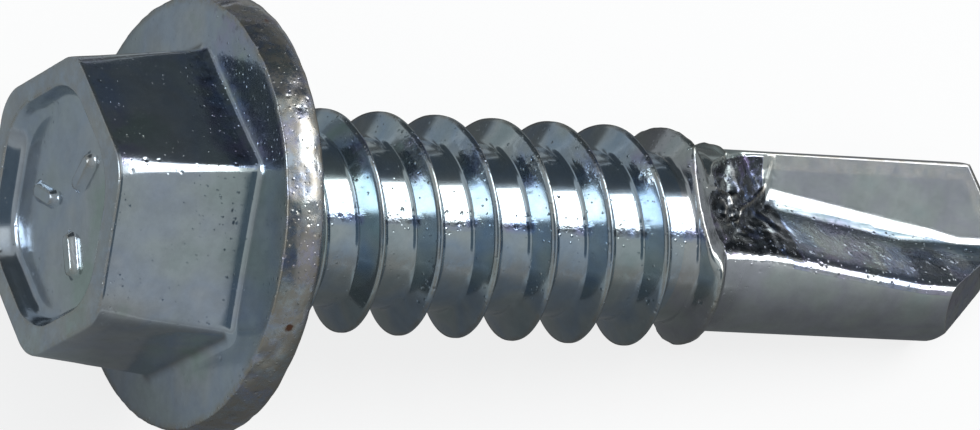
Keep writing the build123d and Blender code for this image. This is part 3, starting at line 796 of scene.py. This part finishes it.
# The steel is rough on the ramps, along the seam between the dies, on the flanks beside it, on the
# walls of the flutes and near both ends of one side of the head. The cutting faces are smooth.
torn_ramp = np.interp(station, (14.0, 14.4, 16.9, 17.4), (0, 1, 1, 0))
torn_ramp *= radius < ROOT_RADIUS - 0.05 + 0.16 * (station > DRILL_START)
die_seam = np.exp(-((turn - 89) / 6)**2) * on_thread * (radius < 2.6)
upper_flank = np.exp(-((turn - 48) / 16)**2) * on_thread * (radius > 2.7)
side_foot_marks = 0.4 * np.exp(-((station + 1.75) / 0.5)**2)
side_top_marks = 0.3 * np.exp(-((station + 5.0) / 0.4)**2)
rough = 0.5 * rim + 0.2 * top_land + 0.8 * torn_ramp + 0.70 * die_seam + 0.6 * upper_flank
rough += upper_side * (0.26 + side_foot_marks + side_top_marks)
rough += 0.52 * on_wall - 0.7 * on_face - 0.25 * on_land
past_valley = np.interp(station, *VALLEY_LINE) - across
drawn = on_wall * np.clip(1.4 - past_valley / 0.75, 0, 1) * np.clip((station - 17.1) / 0.5, 0, 1)
matt = np.interp(station, (15.0, 15.8), (0, 1)) * (radius > DRILL_RADIUS - 0.03)
rust = np.zeros(len(own))
for mark, reach, along, size in ((120, 6.1, -0.60, 0.22), (30, 6.1, -0.5, 0.2)):
    spot = ring((mark,), reach, along)
    rust = np.maximum(rust, np.clip(1 - np.linalg.norm(own - spot, axis=1) / size, 0, 1))
for name, kind, channel, values in (
    ("own_mm", "FLOAT_VECTOR", "vector", own),
    ("wear_shade_rust_rough", "FLOAT_VECTOR", "vector", np.stack([wear_and_shade, rust, rough], 1)),
    ("drawn", "FLOAT", "value", drawn),
    ("matt", "FLOAT", "value", matt),
):
    skin.attributes.new(name, kind, "POINT").data.foreach_set(channel, values.ravel())
screw = placed("self_drilling_screw", skin)
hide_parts("screw")
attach(screw, "root")


# The pale floor, which runs out of sight on all sides. To the eye and in reflections it is mostly its
# own white, so the screw's shadow on it stays light.
def flat_sheet(name, width, height):
    """A flat rectangle about the origin, in metres."""
    x, y = width / 2, height / 2
    made = bpy.data.meshes.new(name)
    made.from_pydata([(-x, -y, 0), (x, -y, 0), (x, y, 0), (-x, y, 0)], [], [(0, 1, 2, 3)])
    return made


floor = placed("studio_floor", flat_sheet("studio_floor", 6, 6))
pale = bpy.data.materials.new("matt_white_card_floor")
pale.use_nodes = True
tree = pale.node_tree
lit = tree.nodes["Principled BSDF"]
lit.inputs["Base Color"].default_value = colour("#fafaf9")
lit.inputs["Roughness"].default_value = 0.9
lit.inputs["Specular IOR Level"].default_value = 0.1
path = add(tree, "ShaderNodeLightPath", {})
direct = path.outputs["Is Camera Ray"]
for kind in ("Is Glossy Ray", "Is Transmission Ray"):
    direct = add(tree, "ShaderNodeMath", {0: direct, 1: path.outputs[kind]}, operation="MAXIMUM").outputs[0]
own_white = add(tree, "ShaderNodeMath", {0: direct, 1: 0.80}, operation="MULTIPLY")
white = add(tree, "ShaderNodeEmission", {"Color": (1.0, 1.0, 1.0, 1.0), "Strength": 1.0})
mixed = add(tree, "ShaderNodeMixShader", {0: own_white.outputs[0], 1: lit.outputs[0], 2: white.outputs[0]})
tree.links.new(mixed.outputs[0], tree.nodes["Material Output"].inputs["Surface"])
floor.data.materials.append(pale)


# Studio light. One large softbox stands to the right and a small one low to the left, each a metre
# off, evenly bright over its whole face.
def toward(azimuth, elevation):
    """Direction at an azimuth from +X towards +Y and an elevation over the floor, in degrees."""
    azimuth, elevation = radians(azimuth), radians(elevation)
    return cos(elevation) * cos(azimuth), cos(elevation) * sin(azimuth), sin(elevation)


def aimed(centre, along, distance):
    """Where a flat thing stands that faces the origin from a direction, its width lying along another."""
    centre = Vector(centre).normalized()
    along = Vector(along)
    along = (along - along.dot(centre) * centre).normalized()
    turned = Matrix((along, centre.cross(along), centre)).transposed().to_4x4()
    return Matrix.Translation(centre * distance) @ turned


for name, centre, along, width, height, radiance, tint in (
    ("right_softbox", (0.676, 0.123, 0.727), (-0.024, 0.616, -0.074), 0.70, 0.68, 4.2, "#ffffff"),
    ("left_softbox", (-0.949, 0.213, 0.231), (0.06, 0.249, 0.007), 0.30, 0.45, 4.5, "#eaf4ff"),
):
    lamp = bpy.data.lights.new(name, "AREA")
    lamp.shape, lamp.size, lamp.size_y = "RECTANGLE", width, height
    lamp.color = colour(tint)[:3]
    lamp.energy = radiance * pi * width * height
    softbox = placed(name, lamp)
    softbox.matrix_world = aimed(centre, along, 1.0)
    softbox.visible_camera = False


# Black and grey cards round the screw, which only its reflections show. They give the metal its dark
# areas: the frame of the softbox, a ceiling behind the camera and a wall at the back.
def emptied(data):
    """A material or world whose node tree is empty."""
    data.use_nodes = True
    data.node_tree.nodes.clear()
    return data


def hung_card(paper, width, height, place, tone):
    """A card in its place, of an emptied material whose tone is a colour or the end of its nodes."""
    glow = add(paper.node_tree, "ShaderNodeEmission", {"Color": tone, "Strength": 1.0})
    add(paper.node_tree, "ShaderNodeOutputMaterial", {"Surface": glow.outputs[0]})
    sheet = flat_sheet(paper.name, width, height)
    sheet.transform(place)
    sheet.materials.append(paper)
    card = placed(paper.name, sheet)
    card.visible_camera = card.visible_diffuse = card.visible_shadow = False
    return card


for name, centre, along, distance, width, height, tone in (
    ("softbox_frame", (0.716, 0.111, 0.689), (-0.024, 0.616, -0.074), 1.06, 1.02, 0.80, (0.26, 0.29, 0.31)),
    ("dark_ceiling", toward(-104, 54), (1, 0, 0), 1.3, 1.25, 1.2, (0.10, 0.135, 0.17)),
    ("dark_back_wall", toward(84, 25), (-0.99, 0.10, 0), 1.3, 2.7, 1.45, (0.065, 0.078, 0.088)),
):
    paper = emptied(bpy.data.materials.new(name))
    hung_card(paper, width, height, aimed(centre, along, distance), (*tone, 1.0))

# A glowing sheet on the floor under the screw, again for reflections alone, which paints the floor's shade
# there as painted shadow.
# It is darkest close to the screw and lighter further out and to the left, with a pale strip behind.
SHADE_SHEET_SIDE, SHADE_SHEET_LIFT, TONED_DEPTH = 5.8, 4e-5, 0.08
FLOOR_SHADE_TONES = (
    (0, 0.26), (0.125, 0.215), (0.3, 0.17), (0.4, 0.14), (0.45, 0.118),
    (0.52, 0.11), (0.68, 0.12), (0.71, 0.38), (0.86, 0.38), (0.93, 0.11))
floor_shade_sheet = emptied(bpy.data.materials.new("painted_floor_shade"))
tree = floor_shade_sheet.node_tree
on_shade_sheet = add(tree, "ShaderNodeTexCoord", {}).outputs["Object"]
spot = add(tree, "ShaderNodeSeparateXYZ", {0: on_shade_sheet})
inputs = {"Value": spot.outputs["Y"], "From Min": -TONED_DEPTH / 2, "From Max": TONED_DEPTH / 2}
tones = add(tree, "ShaderNodeValToRGB", {0: add(tree, "ShaderNodeMapRange", inputs).outputs[0]})
for place, tone in FLOOR_SHADE_TONES:
    stop = tones.color_ramp.elements.new(place) if place else tones.color_ramp.elements[0]
    stop.position, stop.color = place, (tone * 0.95, tone, tone * 1.03, 1)
tones.color_ramp.elements.remove(tones.color_ramp.elements[-1])
away = add(tree, "ShaderNodeVectorMath", {0: on_shade_sheet}, operation="LENGTH").outputs["Value"]
toned = tones.outputs[0]
for value, low, high, tone in (
    (spot.outputs["X"], -0.012, -0.018, (0.315, 0.35, 0.37, 1.0)),
    (away, 0.07, 0.40, (0.62, 0.64, 0.65, 1.0)),
):
    share = add(tree, "ShaderNodeMapRange", {"Value": value, "From Min": low, "From Max": high}).outputs[0]
    toned = add(tree, "ShaderNodeMix", {0: share, 6: toned, 7: tone}, data_type="RGBA").outputs[2]
hung_card(floor_shade_sheet, SHADE_SHEET_SIDE, SHADE_SHEET_SIDE, Matrix.Translation((0, 0, SHADE_SHEET_LIFT)), toned)

# The grey room beyond, which is lighter higher up and nearly twice as light again overhead.
bpy.context.scene.world = emptied(bpy.data.worlds.new("grey_studio"))
tree = bpy.context.scene.world.node_tree
view = add(tree, "ShaderNodeSeparateXYZ", {0: add(tree, "ShaderNodeTexCoord", {}).outputs["Generated"]})
level = 0.0
for low, high, darkest, lightest in ((0.0, 0.5, 0.30, 0.48), (0.85, 0.98, 0.0, 0.45)):
    inputs = {0: view.outputs["Z"], 1: low, 2: high, 3: darkest, 4: lightest}
    brighter = add(tree, "ShaderNodeMapRange", inputs).outputs[0]
    level = add(tree, "ShaderNodeMath", {0: brighter, 1: level}, operation="ADD").outputs[0]
room = add(tree, "ShaderNodeBackground", {"Color": (0.95, 1.0, 1.03, 1.0), "Strength": level})
add(tree, "ShaderNodeOutputWorld", {"Surface": room.outputs[0]})

# Colours are shown as they are, with no film look.
bpy.context.scene.view_settings.view_transform = "Standard"

# The camera stands 0.3 m off, above the head's end, and looks along a little past the flange at a
# place on the floor under the middle of the screw.
lens = bpy.data.cameras.new("camera")
lens.lens, lens.sensor_width, lens.clip_start = 378.1, 36.0, 0.01
camera = placed("camera", lens)
looked_at = Matrix.Translation((0.0006427, 0.0023979, 0))
camera.matrix_world = looked_at @ aimed(toward(-129.8371, 59.2304), (0.944016, -0.172545, 0.281179), 0.293558)
bpy.context.scene.camera = camera
